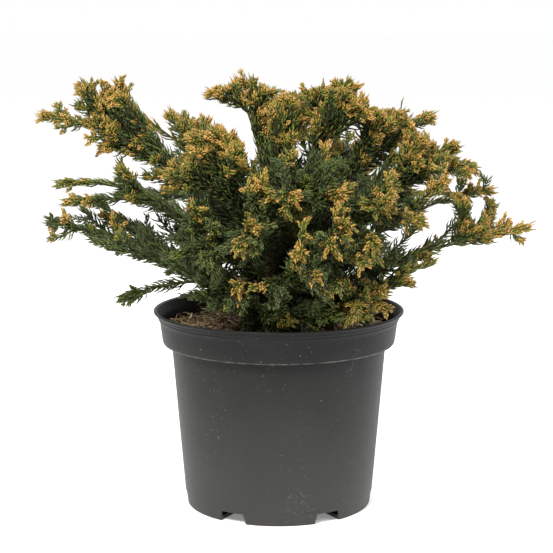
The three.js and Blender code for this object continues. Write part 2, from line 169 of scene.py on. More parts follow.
# a grain that any material can take: a mask and a bumped normal
def grainGroup():
    group = bpy.data.node_groups.new("surfaceGrain", "ShaderNodeTree")
    group.interface.new_socket("Vector", in_out="INPUT", socket_type="NodeSocketVector")
    group.interface.new_socket("Normal", in_out="OUTPUT", socket_type="NodeSocketVector")
    for name, way in (("Scale", "INPUT"), ("Relief", "INPUT"), ("Mask", "OUTPUT")):
        group.interface.new_socket(name, in_out=way, socket_type="NodeSocketFloat")
    entry = group.nodes.new("NodeGroupInput").outputs
    inputs = {"Vector": entry["Vector"], "Scale": entry["Scale"], "Detail": 5.0}
    cloud = addNode(group, "ShaderNodeTexNoise", inputs).outputs["Fac"]
    relief = {"Height": cloud, "Distance": entry["Relief"], "Strength": 1.0}
    bump = addNode(group, "ShaderNodeBump", relief).outputs["Normal"]
    addNode(group, "NodeGroupOutput", {"Mask": cloud, "Normal": bump})
    return group


grain = grainGroup()


# grain on a material: roughness runs between two values, and the normal is bumped
def addGrain(tree, shader, place, scale, relief, roughness):
    inputs = {"Vector": place, "Scale": scale, "Relief": relief}
    made = addNode(tree, "ShaderNodeGroup", inputs, node_tree=grain)
    rough = maskBetween(tree, made.outputs["Mask"], 0.3, 0.7, roughness[1], roughness[0])
    feed(tree, shader.inputs["Roughness"], rough)
    feed(tree, shader.inputs["Normal"], made.outputs["Normal"])


# one colour with its own fine grain, for needles, twigs and shreds
def plainTone(name, colour, roughness=(0.5, 0.72), scale=500, relief=0.00004, specular=0.3):
    material, tree, shader = newMaterial(name, specular=specular)
    feed(tree, shader.inputs["Base Color"], colour)
    addGrain(tree, shader, objectPlace(tree), scale, relief, roughness)
    return material


# Meshes made from arrays

def smoothShaded(mesh):
    mesh.polygons.foreach_set("use_smooth", np.ones(len(mesh.polygons), dtype=bool))


# one object from corners in millimetres and triangles, each with its material's number
def joinedMesh(name, corners, triangles, toneNumbers, materials):
    mesh = bpy.data.meshes.new(name)
    mesh.vertices.add(len(corners))
    mesh.vertices.foreach_set("co", (corners * mm).astype(np.float32).ravel())
    mesh.loops.add(triangles.size)
    mesh.loops.foreach_set("vertex_index", triangles.astype(np.int32).ravel())
    mesh.polygons.add(len(triangles))
    mesh.polygons.foreach_set("loop_start", np.arange(0, triangles.size, 3, dtype=np.int32))
    for material in materials:
        mesh.materials.append(material)
    mesh.polygons.foreach_set("material_index", np.asarray(toneNumbers, dtype=np.int32))
    smoothShaded(mesh)
    mesh.update(calc_edges=True)
    made = bpy.data.objects.new(name, mesh)
    bpy.context.collection.objects.link(made)
    return made


# triangles of a tube of rings, open at its ends
def ringFaces(rings, sides):
    grids = np.meshgrid(np.arange(rings - 1), np.arange(sides), indexing="ij")
    ring, side = (grid.ravel() for grid in grids)
    a = ring * sides + side
    b = ring * sides + (side + 1) % sides
    return np.concatenate([np.stack([a, b, b + sides], 1), np.stack([a, b + sides, a + sides], 1)])


# the same triangles for each of many like shapes
def repeatFaces(faces, count, corners):
    return (np.arange(count)[:, None, None] * corners + faces[None]).reshape(-1, 3)


# the corners and triangles of several shapes as one
def joinShapes(parts):
    starts = np.cumsum([0] + [len(corners) for corners, _ in parts[:-1]])
    shifted = [faces + start for (_, faces), start in zip(parts, starts)]
    return np.concatenate([corners for corners, _ in parts]), np.concatenate(shifted)


def unit(rows):
    return rows / np.maximum(np.linalg.norm(rows, axis=-1, keepdims=True), 1e-9)


# the value at a share of the way from one to the other of a pair
def between(pair, share):
    return pair[0] + (pair[1] - pair[0]) * share


# a share that grows from 0 at start to 1 over a run
def ramp(values, start, run):
    return np.clip((values - start) / run, 0, 1)


# points on a curve of three points, and its headings there
def onCurve(start, middle, end, t):
    points = (1 - t) ** 2 * start + 2 * t * (1 - t) * middle + t * t * end
    headings = unit((1 - t) * (middle - start) + t * (end - middle))
    return points, headings


# a dictionary of rows whose values have names
def namedRows(columns, rows):
    return {name: dict(zip(columns.split(), row)) for name, row in rows.items()}


# Growth: the lines of trunk, boughs, stems and side shoots, by the rule of the solids

soil = {"top": 137, "seatRadius": 26, "edgeDrop": 3, "edgeRadius": 86.7, "potRim": 150}
trunk = {
    "length": 62, "flare": 4.9, "radius": (7.6, 4.6), "lean": (-4, 3),
    "lobes": 5, "lobeDepth": 0.3, "flareFade": 14,
}
bough = {"radius": (3.8, 2.4), "sag": 8, "sunk": 3, "clearance": 0.3}
shoot = {
    "mainHold": 0.6, "forkHold": 0.35,  # how far a stem keeps its parent's heading
    "sideSpacing": 40, "sideStart": 0.3, "firstAt": 0.7, "endRoom": 0.2,
    "sideLean": 52, "sideLength": 25, "shortening": (1.15, 0.4), "lengthSpread": (0.75, 0.5),
    "upturn": 0.25, "spiral": 137.5, "turnSpread": 40,
}

# name, azimuth, rise, length, from, gold, bushy,
# tip (azimuth, reach, height, lift), forks ((from, azimuth, reach, height), ...)
masses = [
    ("left_high", 179, 42, 46, 0.82, 0.6, 1, (180, 175, 295, 18),
     ((0.3, 185, 119, 320), (0.5, 177, 146, 318), (0.36, 178, 131, 275))),
    ("left_inner", 156, 50, 38, 0.9, 0.5, 1, (154, 93, 293, 0), ((0.3, 171, 101, 292),)),
    ("left_mid", 183, 26, 50, 0.66, 0.3, 1, (180, 164, 245, 23),
     ((0.5, 180, 118, 260), (0.4, 185, 158, 232))),
    ("left_low", 176, 14, 48, 0.46, 0.2, 1, (183, 171, 218, 0),
     ((0.2, 172, 139, 231), (0.6, 176, 148, 224))),
    ("left_under", 198, 14, 46, 0.34, 0, 0.3, (197, 138, 206, 6), ((0.08, 200, 122, 165),)),
    ("front_left_high", 226, 50, 42, 0.78, 0.8, 1, (232, 76, 288, 0),
     ((0.35, 219, 80, 283), (0.3, 247, 76, 276), (0.2, 209, 92, 258))),
    ("front_left", 238, 26, 36, 0.55, 0.2, 1, (230, 112, 204, 6),
     ((0.3, 244, 117, 205), (0.2, 236, 109, 239))),
    ("front_centre", 260, 28, 34, 0.68, 0.6, 1, (258, 131, 216, 6),
     ((0.4, 260, 120, 231), (0.2, 262, 81, 256))),
    ("top_left", 190, 85, 40, 0.96, 0.8, 1, (189, 32, 320, 0),
     ((0.75, 197, 51, 313), (0.4, 158, 13, 318))),
    ("top_mid", 290, 72, 34, 0.98, 0.7, 1, (284, 15, 310, 0), ((0.4, 51, 26, 307),)),
    ("top_right", 350, 66, 42, 0.93, 0.7, 1, (349, 52, 320, 0),
     ((0.4, 0, 31, 317), (0.4, 335, 70, 308))),
    ("right_top", 5, 50, 44, 0.78, 0.7, 1, (8, 115, 295, 8),
     ((0.45, 3, 92, 302), (0.3, 340, 76, 299))),
    ("right_high", 352, 36, 48, 0.64, 0.6, 1, (352, 144, 261, 15),
     ((0.5, 0, 131, 276), (0.35, 344, 109, 280))),
    ("right_mid", 6, 20, 50, 0.5, 0.3, 1, (4, 160, 239, 19), ((0.15, 333, 134, 254),)),
    ("right_end", 354, 16, 46, 0.34, 0.5, 1, (357, 186, 213, 3),
     ((0.66, 3, 162, 225), (0.66, 353, 157, 205), (0.6, 356, 140, 232))),
    ("right_bend", 318, 34, 36, 0.72, 0.6, 1, (326, 125, 225, 6),
     ((0.3, 312, 114, 243), (0.25, 301, 129, 215))),
    ("right_low", 332, 4, 42, 0.24, 0.5, 1, (340, 119, 192, 4), ((0.3, 328, 112, 179),)),
    ("front_rim", 308, 6, 34, 0.2, 0.9, 1, (315, 106, 176, 2), ((0.3, 303, 101, 167),)),
    ("front_right", 292, 24, 34, 0.48, 0.6, 1, (298, 126, 203, 6),
     ((0.35, 286, 127, 217), (0.3, 292, 119, 230))),
    ("front_mid", 276, 14, 34, 0.38, 0.6, 1, (281, 130, 196, 6),
     ((0.35, 275, 131, 211), (0.2, 262, 124, 187), (0.25, 289, 104, 184))),
    ("front_foot", 256, 4, 30, 0.2, 0, 1, (239, 91, 162, 4),
     ((0.1, 274, 84, 156), (0.05, 297, 94, 160))),
    ("front_high", 282, 46, 34, 0.86, 0.4, 1, (275, 108, 246, 4),
     ((0.3, 297, 86, 266), (0.25, 296, 100, 248))),
    ("front_low", 228, 8, 34, 0.22, 0.1, 1, (232, 92, 184, 2),
     ((0.15, 216, 100, 199), (0.2, 255, 104, 185))),
    ("back_high", 95, 58, 40, 0.88, 0.6, 1, (100, 84, 296, 0),
     ((0.3, 66, 74, 300), (0.12, 146, 88, 272))),
    ("back_left", 132, 32, 44, 0.72, 0.4, 1, (128, 138, 250, 4),
     ((0.3, 146, 150, 226), (0.35, 116, 122, 274))),
    ("back_mid", 98, 20, 44, 0.5, 0.3, 1, (100, 140, 224, 4),
     ((0.3, 84, 130, 246), (0.3, 114, 128, 196))),
    ("back_right", 52, 30, 44, 0.62, 0.4, 1, (56, 138, 248, 4),
     ((0.3, 38, 146, 228), (0.35, 68, 124, 272))),
    ("back_low", 76, 6, 42, 0.28, 0.1, 1, (76, 124, 186, 2),
     ((0.2, 48, 128, 184), (0.2, 110, 112, 172))),
]
massNames = [row[0] for row in masses]
massAzimuths = [row[1] for row in masses]
massGold = np.array([row[5] for row in masses])


def seededNumbers(seed):
    state = (seed * 2654435761) % 2**32

    def draw():
        nonlocal state
        state = (state * 1664525 + 1013904223) % 2**32
        return state / 2**32
    return draw


def direction(azimuth, rise=0.0):
    azimuth, rise = math.radians(azimuth), math.radians(rise)
    flat = math.cos(rise)
    return np.array([flat * math.cos(azimuth), flat * math.sin(azimuth), math.sin(rise)])


def tipPoint(azimuth, reach, height):
    return direction(azimuth) * reach + upWay * height


curveSteps = np.linspace(0, 1, 101)


def curvePoints(curve, t):
    return onCurve(*curve, np.asarray(t, float)[..., None])


def stepLengths(curve):
    points, _ = curvePoints(curve, curveSteps)
    return np.linalg.norm(np.diff(points, axis=0), axis=1)


# point and heading at a share of the curve's own length
def curveAt(curve, share):
    reach = np.concatenate([[0], np.cumsum(stepLengths(curve))])
    return curvePoints(curve, np.interp(np.asarray(share) * reach[-1], reach, curveSteps))


ground = soil["top"] + bough["clearance"]
trunkLine = np.array([
    (0, 0, ground),
    (0, 0, ground + trunk["length"] / 2),
    (*trunk["lean"], ground + trunk["length"]),
], float)


def boughLine(azimuth, rise, length, leaves):
    start = curveAt(trunkLine, leaves)[0] + direction(azimuth) * bough["sunk"]
    middle = start + direction(azimuth, rise - bough["sag"]) * length / 2
    return np.array([start, middle, start + direction(azimuth, rise) * length])


def stemLine(start, along, tip, share, lift=0.0):
    way = tip - start
    length = np.linalg.norm(way)
    first = unit(along * share + unit(way) * (1 - share))
    return np.array([start, start + first * length / 2 + upWay * lift, tip])


def forkLine(stem, leaves, tip):
    root, along = curveAt(stem, leaves)
    return stemLine(root, along, tipPoint(*tip), shoot["forkHold"])


def stemsOf(limb, tip, forks):
    seat, along = curveAt(limb, 1.0)
    start = seat + along * bough["clearance"]
    main = stemLine(start, along, tipPoint(*tip[:3]), shoot["mainHold"], tip[3])
    return [main] + [forkLine(main, leaves, forkTip) for leaves, *forkTip in forks]


def sideShoots(stem, draw, bushy):
    rest = 1 - shoot["sideStart"]
    length = float(stepLengths(stem).sum())
    count = max(1, math.floor(bushy * length * rest / shoot["sideSpacing"] + 0.5))
    turn = draw() * 360
    lean = math.radians(shoot["sideLean"])
    sides = []
    for i in range(count):
        share = shoot["sideStart"] + rest * (i + shoot["firstAt"]) / (count + shoot["endRoom"])
        root, along = curveAt(stem, share)
        side = unit(np.cross(along, upWay))
        above = np.cross(side, along)
        angle = math.radians(turn + i * shoot["spiral"] + shoot["turnSpread"] * draw())
        reach = shoot["sideLength"] * (shoot["shortening"][0] - shoot["shortening"][1] * share)
        reach *= shoot["lengthSpread"][0] + shoot["lengthSpread"][1] * draw()
        out = side * math.cos(angle) + above * math.sin(angle)
        heading = along * math.cos(lean) + out * math.sin(lean)
        end = root + heading * reach + upWay * reach * shoot["upturn"]
        sides.append(np.array([root, root + heading * reach / 2, end]))
    return sides


# Finer growth. Shoots are kept as arrays: their three curve points, their mass and how golden they are.

sprays = {
    "seed": 44,
    "spiral": math.radians(shoot["spiral"]), "turnSpread": 0.35, "shortening": (1.15, 0.4),
    "trim": 0.75, "trims": 4,  # cut a shoot back that stands out of the crown
    "potMargin": 1.0, "tipMargin": 2.5, "coarseKeepOff": 3,
    "nod": 0.6,  # how far the shoots at the front hang, below a height
    "nodTop": 265, "nodFade": 60, "nodFront": 100, "nodMiddle": 0.2,
    "crownMiddle": (0, 0, 200),
    "crownReach": (178, 132, 122),  # to the sides, to front and back, upwards
    "crownDrop": 60,
    "innerGold": 0.75,
    "toneSpread": 0.1,
}
# How many shoots on each parent, or else their spacing, where on the parent, lean in degrees, length,
# upturn, how far past the parent's tip, how far off the open gaps, and what holds them back:
# airy masses have fewer, and ripe shoots grow on golden parents.
growth = namedRows("each spacing span lean length upturn past keepOff held", {
    "core": (60, 0, (0.12, 1.0), (12, 85), (34, 56), 0.25, 90, 7, "airy"),
    "inner": (5, 0, (0.25, 1.0), (18, 50), (34, 54), 0.1, 60, 6, "airy"),
    "second": (6, 0, (0.0, 0.6), (8, 26), (28, 50), 0.08, 0, 5, "airy"),
    "fine": (0, 15, (0.25, 0.97), (30, 60), (14, 25), 0.15, 2, 4, ""),
    "sparse": (0, 34, (0.4, 0.95), (28, 50), (12, 20), 0.15, 2, 4, ""),
    "crest": (11, 0, (0.74, 1.0), (16, 72), (8, 12.5), 0.08, 1, 2, ""),
    "crown": (8, 0, (0.8, 1.0), (12, 60), (7, 11), 0.08, 1, 2, "ripe"),
    "knob": (4, 0, (0.45, 1.0), (24, 66), (6.5, 10), 0.08, 1, 2, "ripe"),
})
ripeOnly = (0.12, 1.5)  # chance that a parent bears ripe shoots, at no gold and per unit of gold

# Strips across the picture, in pixels: from x and y, to x and y, and half the width.
# These gaps in the crown stay open towards the camera.
openGaps = [
    (142, 78, 152, 108, 9), (158, 118, 167, 138, 5), (204, 106, 228, 114, 6), (241, 110, 246, 133, 7),
    (250, 140, 252, 152, 4), (75, 190, 108, 187, 3), (68, 209, 90, 214, 2), (110, 204, 134, 210, 4),
    (122, 158, 132, 166, 3), (146, 184, 158, 187, 2), (108, 262, 150, 273, 8), (175, 287, 190, 286, 4),
    (442, 204, 437, 222, 8), (424, 235, 414, 240, 3), (378, 229, 396, 231, 4), (446, 260, 462, 252, 5),
    (425, 275, 445, 285, 9), (405, 295, 425, 305, 9), (451, 251, 488, 250, 6), (480, 200, 484, 206, 2),
    (376, 100, 404, 101, 6), (440, 130, 465, 135, 6), (474, 148, 490, 166, 7), (85, 250, 100, 254, 6),
    (264, 77, 284, 79, 6), (303, 76, 316, 80, 6), (172, 310, 232, 320, 6), (80, 66, 100, 64, 6),
    (205, 80, 222, 76, 7), (415, 102, 436, 105, 6), (170, 99, 186, 101, 5), (414, 186, 425, 194, 2),
    (114, 286, 148, 271, 5), (64, 161, 84, 161, 6), (512, 204, 522, 206, 5), (118, 318, 158, 304, 6),
]
# dark hollows in the crown's front, which only the shoots behind them fill
hollows = [
    (232, 268, 258, 296, 5), (274, 262, 300, 288, 5), (228, 208, 242, 222, 5),
    (345, 262, 352, 275, 4), (180, 262, 205, 285, 4),
]
hollowFront = -35  # where the front begins
# in the shaded spots shoots stay green, and their tones are darkened as painted shade
shaded = [(306, 150, 338, 172, 14), (275, 168, 298, 178, 10), (268, 268, 300, 312, 14)]  # all green
sunny = [(362, 130, 370, 165, 12), (292, 208, 300, 236, 10), (245, 78, 255, 95, 12)]  # more golden

# share of the inner shoots kept, in masses whose stems stand apart
airy = {"left_high": 0.9, "left_mid": 0.65, "left_low": 0.7, "left_under": 0.4, "right_end": 0.65}
keptShare = np.array([airy.get(name, 1) for name in massNames])
airyFrom = 92  # distance from the middle where these masses begin to open
random = np.random.default_rng(sprays["seed"])


def pack(curves, mass):
    return {"curve": np.asarray(curves, float), "mass": np.asarray(mass)}


def chosen(shoots, keep):
    return {key: value[keep] for key, value in shoots.items()}


def joinShoots(*groups):
    return {key: np.concatenate([group[key] for group in groups]) for key in groups[0]}


def fromMiddle(points):
    return np.linalg.norm(points - np.array(sprays["crownMiddle"]), axis=-1)


def shootsAt(shoots, index, t):
    return onCurve(*shoots["curve"][index].swapaxes(0, 1), t[:, None])


def lengthsOf(shoots):
    curve = shoots["curve"]
    return np.linalg.norm(curve[:, 2] - curve[:, 0], axis=1)


# height of the soil at a distance from the middle
def soilHeight(radius):
    fall = ramp(radius, soil["seatRadius"], soil["edgeRadius"] - soil["seatRadius"])
    return soil["top"] - soil["edgeDrop"] * fall


# whether points stand over the soil inside the rim, or over the rim outside it
def clearOfPot(points, margin):
    radius = np.hypot(points[:, 0], points[:, 1])
    inside = radius + margin < soil["edgeRadius"]
    return points[:, 2] - margin > np.where(inside, soilHeight(radius), soil["potRim"])


# where the camera sees points, in pixels
def seenAt(points):
    offset = points - np.array(view["place"])
    pitch = math.radians(view["pitch"])
    depth = offset[..., 1] * math.cos(pitch) - offset[..., 2] * math.sin(pitch)
    rise = offset[..., 1] * math.sin(pitch) + offset[..., 2] * math.cos(pitch)
    flat = np.stack([offset[..., 0], -rise], -1) / depth[..., None]
    return flat * view["focalPixels"] + view["imagePixels"] / 2


# whether points, as the camera sees them, keep out of strips; those behind the front may stay
def clearOf(strips, points, margin, front=math.inf):
    clear = np.ones(len(points), dtype=bool)
    spots = seenAt(points)
    for *ends, width in strips:
        start, end = np.array(ends, float).reshape(2, 2)
        way = end - start
        share = np.clip((spots - start) @ way / (way @ way), 0, 1)
        apart = np.linalg.norm(spots - start - share[:, None] * way, axis=1) > width + margin
        clear &= apart | (points[:, 1] > front)
    return clear


# whether shoots' outer halves keep out of the open gaps, and at the front out of the hollows
def clearOfGaps(curves, margin):
    clear = np.ones(len(curves), dtype=bool)
    for t in (0.5, 0.75, 1.0):
        points, _ = onCurve(*curves.swapaxes(0, 1), t)
        clear &= clearOf(openGaps, points, margin) & clearOf(hollows, points, margin, hollowFront)
    return clear


# for each of the counted children: its parent's number and its own number there
def spreadOver(counts):
    parent = np.repeat(np.arange(len(counts)), counts)
    own = np.arange(len(parent)) - np.repeat(np.cumsum(counts) - counts, counts)
    return parent, own


# the way out from an axis at each angle round it
def outAt(across, other, angles):
    return across * np.cos(angles)[:, None] + other * np.sin(angles)[:, None]


def branchOff(parents, rule):
    if rule["spacing"]:
        counts = np.maximum(1, (lengthsOf(parents) / rule["spacing"]).astype(int))
    else:
        counts = np.full(len(parents["mass"]), rule["each"])
    parent, own = spreadOver(counts)
    size = len(parent)
    low, high = rule["span"]
    t = low + (high - low) * (own + random.random(size)) / counts[parent]
    root, along = shootsAt(parents, parent, t)
    side = unit(np.cross(along, upWay + np.array([0.01, 0.02, 0])))
    above = np.cross(side, along)
    firstTurn = random.random(len(counts))[parent] * 2 * math.pi
    turn = firstTurn + own * sprays["spiral"] + random.normal(0, sprays["turnSpread"], size)
    lean = np.radians(random.uniform(*rule["lean"], size))[:, None]
    heading = along * np.cos(lean) + outAt(side, above, turn) * np.sin(lean)
    longest, loss = sprays["shortening"]
    reach = (random.uniform(*rule["length"], size) * (longest - loss * t))[:, None]
    below = np.clip((sprays["nodTop"] - root[:, 2:]) / sprays["nodFade"], 0, 1)
    hanging = np.clip(-root[:, 1:2] / sprays["nodFront"] - sprays["nodMiddle"], 0, 1) * below
    rise = heading + upWay * (rule["upturn"] - sprays["nod"] * hanging)
    furthest = fromMiddle(parents["curve"][:, 2])[parent] + rule["past"]
    for _ in range(sprays["trims"]):
        outside = (fromMiddle(root + rise * reach) > furthest)[:, None]
        reach = np.where(outside, reach * sprays["trim"], reach)
    end = root + rise * reach
    curves = np.stack([root, root + heading * reach / 2, end], 1)
    mass = parents["mass"][parent]
    keep = clearOfPot(end, sprays["tipMargin"]) & clearOfPot(root, sprays["potMargin"])
    if rule["held"] == "ripe":
        keep &= random.random(size) < ripeOnly[0] + ripeOnly[1] * parents["gold"][parent]
    keep &= clearOfGaps(curves, rule["keepOff"])
    share = keptShare[mass] if rule["held"] == "airy" else 1
    keep &= (random.random(size) < share) | (np.hypot(root[:, 0], root[:, 1]) < airyFrom)
    children = pack(curves, mass)
    for key in ("gold", "shade"):
        if key in parents:
            changed = parents[key][parent] + random.normal(0, sprays["toneSpread"], size)
            children[key] = np.clip(changed, 0, 1)
    return chosen(children, keep)


ripening = {
    "outward": (0.45, 0.4),  # share of the crown's reach where gold begins, and over which it grows
    "height": (12, 75), "aside": (60, 110),  # the same for the sunlit top and the sunlit ends
    "indoors": 0.2,  # what shoots out of the sun get
    "byMass": (0.3, 1.2), "ripeMass": (3, 1.8), "byRise": 0.12, "spread": 0.2, "contrast": (0.2, 0.42),
    "inShade": 0.15, "inSun": 0.7, "exposure": (0.5, 0.8),  # of side shoots and of leading stems
    "tone": (0.15, 0.75, 0.36), "toneInShade": 0.6,
}


# how golden each shoot is: by its mass, by how far out and high its tip stands, and by chance; and its tone,
# with painted shade that darkens shoots deep in the crown and in the shaded spots
def ripen(shoots, share=1.0, leading=False):
    ends = shoots["curve"][:, 2]
    tip = ends - np.array(sprays["crownMiddle"])
    scale = np.tile(np.array(sprays["crownReach"], float), (len(tip), 1))
    scale[tip[:, 2] < 0, 2] = sprays["crownDrop"]
    outward = ramp(np.linalg.norm(tip / scale, axis=1), *ripening["outward"])
    rising = unit(ends - shoots["curve"][:, 0])[:, 2]
    ownGold = massGold[shoots["mass"]]
    sunlit = np.maximum(ramp(tip[:, 2], *ripening["height"]), ramp(np.abs(tip[:, 0]), *ripening["aside"]))
    slope, offset = ripening["ripeMass"]
    fromSun = np.maximum(sunlit, np.clip(slope * ownGold - offset, 0, 1))
    reached = 1 if leading else ripening["indoors"] + (1 - ripening["indoors"]) * fromSun
    least, more = ripening["byMass"]
    chance = random.normal(0, ripening["spread"], len(tip))
    gold = outward * (least + more * ownGold) * reached + ripening["byRise"] * rising + chance
    gold = ramp(gold, *ripening["contrast"])
    lit = clearOf(shaded, ends, 0)
    gold = gold * gold * (3 - 2 * gold) * share * np.where(lit, 1, ripening["inShade"])
    shoots["gold"] = np.where(clearOf(sunny, ends, 0), gold, np.maximum(gold, ripening["inSun"]))
    # painted shade: shoots less out in the open, and those in the shaded spots, take darker tones
    exposed = np.maximum(sunlit, ripening["exposure"][int(leading)] * outward)
    dim, bright, plain = ripening["tone"]
    tone = random.random(len(tip)) * (dim + bright * exposed) + plain * exposed
    shoots["shade"] = np.clip(tone, 0, 1) * np.where(lit, 1, ripening["toneInShade"])


def nearestMass(azimuth):
    return min(range(len(masses)), key=lambda i: abs((massAzimuths[i] - azimuth + 180) % 360 - 180))


# stems that close holes near the trunk: mass, where they leave its main stem, azimuth, reach, height
fillers = (
    ("left_low", 0.02, 178, 90, 218), ("left_low", 0.06, 184, 99, 209), ("left_low", 0.01, 170, 80, 209),
    ("left_mid", 0.08, 172, 84, 224), ("left_high", 0.03, 178, 99, 251), ("right_end", 0.12, 350, 104, 214),
)
limbs, stemRows, sideRows, fillerRows = [], [], [], []
for number, (name, azimuth, rise, length, leaves, _, bushy, tip, forks) in enumerate(masses):
    limbs.append(boughLine(azimuth, rise, length, leaves))
    draw = seededNumbers(number + 1)
    grown = stemsOf(limbs[-1], tip, forks)
    stemRows += [(stem, number) for stem in grown]
    sideRows += [(side, number) for stem in grown for side in sideShoots(stem, draw, bushy)]
    own = [filler[1:] for filler in fillers if filler[0] == name]
    fillerRows += [(forkLine(grown[0], share, end), number) for share, *end in own]
limbShoots = pack(limbs, np.arange(len(masses)))
mainStems = pack(*zip(*stemRows))
coarse = pack(*zip(*sideRows))
free = clearOfPot(coarse["curve"][:, 2], sprays["tipMargin"])
coarse = chosen(coarse, free & clearOfGaps(coarse["curve"], sprays["coarseKeepOff"]))
core = branchOff(pack([trunkLine], [0]), growth["core"])
facing = np.degrees(np.arctan2(core["curve"][:, 2, 1], core["curve"][:, 2, 0]))
core["mass"] = np.array([nearestMass(azimuth) for azimuth in facing])
fromLimbs = branchOff(limbShoots, growth["inner"])
fromStems = branchOff(mainStems, growth["second"])
inner = joinShoots(core, pack(*zip(*fillerRows)), fromLimbs, fromStems)
outer = joinShoots(coarse, branchOff(mainStems, growth["fine"]))
sides = joinShoots(outer, branchOff(inner, growth["sparse"]))
ripen(limbShoots)
ripen(mainStems, leading=True)
ripen(inner, sprays["innerGold"])
isOuter = np.arange(len(sides["mass"])) < len(outer["mass"])
ripen(sides, np.where(isOuter, 1.0, sprays["innerGold"]))
stems = joinShoots(mainStems, inner)
bearers = ((mainStems, "crest"), (inner, "crown"), (sides, "knob"))
tips = joinShoots(*[branchOff(parents, growth[name]) for parents, name in bearers])
print("shoots:", len(stems["mass"]), "stems,", len(sides["mass"]), "side shoots,", len(tips["mass"]), "tips")


# Needles: three-sided awls of nine faces, bent in towards their shoot.
# Each takes its tones from a ladder that runs from deep green to pale gold.

needleKinds = namedRows("gap span length lean incurve thick golden ripening shade", {
    "limb": (0.65, (0.15, 1.0), (12.5, 12.5), (42, 38), 0.1, 0.63, (0.5, 1.0), 0, (0.1, 1.6)),
    "stem": (0.65, (0.0, 1.0), (12.6, 8.8), (36, 22), 0.13, 0.69, (0.5, 1.0), 2.6, (0.7, 3.3)),
    "inner": (1.01, (0.0, 1.0), (13.4, 9.0), (48, 30), 0.12, 0.69, (0.5, 1.0), 2.2, (0.1, 2.4)),
    "side": (0.83, (0.04, 1.0), (8.8, 5.2), (40, 20), 0.17, 0.60, (0.35, 0.95), 4.3, (0.4, 3.0)),
    "tip": (0.65, (0.06, 1.0), (4.6, 3.6), (34, 8), 0.26, 0.72, (-0.5, 0.5), 4.2, (0.9, 3.1)),
})
needle = {
    "fewest": 4, "turnSpread": 0.25, "leanSpread": 4.5, "lengthSpread": 0.08,
    "seat": 0.3, "waist": 0.56, "waistBend": 0.35, "pointBend": 0.65, "footThick": 0.8,
    "liftedGold": 0.2, "toneSpread": 0.4, "footTone": -1.70, "pointTone": 0.55,
    "bronzeShare": 0.08, "bronzeFrom": 2.5, "footMargin": 0.7, "pointMargin": 0.5, "gapMargin": -1,
}
tones = {
    "deepGreen": (0.032, 0.046, 0.012),
    "darkGreen": (0.047, 0.066, 0.016),
    "midGreen": (0.064, 0.088, 0.019),
    "freshGreen": (0.098, 0.124, 0.022),
    "limeGreen": (0.160, 0.172, 0.020),
    "oliveGold": (0.265, 0.182, 0.024),
    "gold": (0.385, 0.198, 0.037),
    "paleGold": (0.520, 0.298, 0.088),
    "bronze": (0.170, 0.080, 0.032),
}
ladderTop = list(tones).index("paleGold")
bronzeTone = list(tones).index("bronze")
footFaces = [(0, 1, 4), (0, 4, 3), (1, 2, 5), (1, 5, 4), (2, 0, 3), (2, 3, 5)]
pointFaces = [(3, 4, 6), (4, 5, 6), (5, 3, 6)]


# corners (needles, 7, 3), the tones of each needle's foot and point, and its mass
def growNeedles(shoots, kind):
    low, high = kind["span"]
    counts = (lengthsOf(shoots) * (high - low) / kind["gap"]).astype(int)
    counts = np.maximum(needle["fewest"], counts)
    parent, own = spreadOver(counts)
    t = low + (high - low) * (own + 0.5) / counts[parent]
    root, along = shootsAt(shoots, parent, t)
    helper = unit(random.normal(size=(len(counts), 3)))[parent]
    across = unit(np.cross(along, helper))
    turn = own * sprays["spiral"] + random.normal(0, needle["turnSpread"], len(own))
    out = outAt(across, np.cross(along, across), turn)
    jitter = random.normal(0, 1, (len(own), 3))
    lean = np.radians(between(kind["lean"], t) + needle["leanSpread"] * jitter[:, 0])[:, None]
    length = (between(kind["length"], t) * (1 + needle["lengthSpread"] * jitter[:, 1]))[:, None]
    way = along * np.cos(lean) + out * np.sin(lean)
    bend = (along * np.sin(lean) - out * np.cos(lean)) * length * kind["incurve"]
    foot = root + out * needle["seat"]
    middle = foot + way * length * needle["waist"] - bend * needle["waistBend"]
    point = foot + way * length + bend * needle["pointBend"]
    wide = unit(np.cross(way, along + out * 0.01))
    deep = np.cross(way, wide)
    corners = np.empty((len(own), 7, 3))
    for number, angle in enumerate(np.radians([90, 210, 330])):
        ring = wide * math.cos(angle) + deep * math.sin(angle)
        corners[:, number] = foot + ring * kind["thick"] * needle["footThick"]
        corners[:, number + 3] = middle + ring * kind["thick"]
    corners[:, 6] = point
    ripe = ramp(t, kind["golden"][0], kind["golden"][1] - kind["golden"][0])
    ripe = ripe + needle["liftedGold"] * np.clip(out[:, 2], 0, 1)
    level = between(kind["shade"], shoots["shade"][parent])
    level = level + shoots["gold"][parent] * kind["ripening"] * ripe + needle["toneSpread"] * jitter[:, 2]
    # each needle is darker at its foot than at its point: partly its own colour, partly painted shade close
    # to the shoot
    footTone = np.clip(level + needle["footTone"], 0, ladderTop).astype(int)
    pointTone = np.clip(level + needle["pointTone"], 0, ladderTop).astype(int)
    bronzed = (random.random(len(own)) < needle["bronzeShare"]) & (level > needle["bronzeFrom"])
    pointTone[bronzed] = bronzeTone
    keep = clearOfPot(point, needle["pointMargin"]) & clearOfPot(middle, needle["footMargin"])
    keep &= clearOf(openGaps, point, needle["gapMargin"])
    return corners[keep], np.stack([footTone, pointTone], 1)[keep], shoots["mass"][parent][keep]


bearers = {"limb": limbShoots, "stem": mainStems, "inner": inner, "side": sides, "tip": tips}
grownNeedles = [growNeedles(shoots, needleKinds[name]) for name, shoots in bearers.items()]
needleCorners, needleTones, needleMass = (np.concatenate(parts) for parts in zip(*grownNeedles))
print("needles:", [len(part[2]) for part in grownNeedles], len(needleMass))

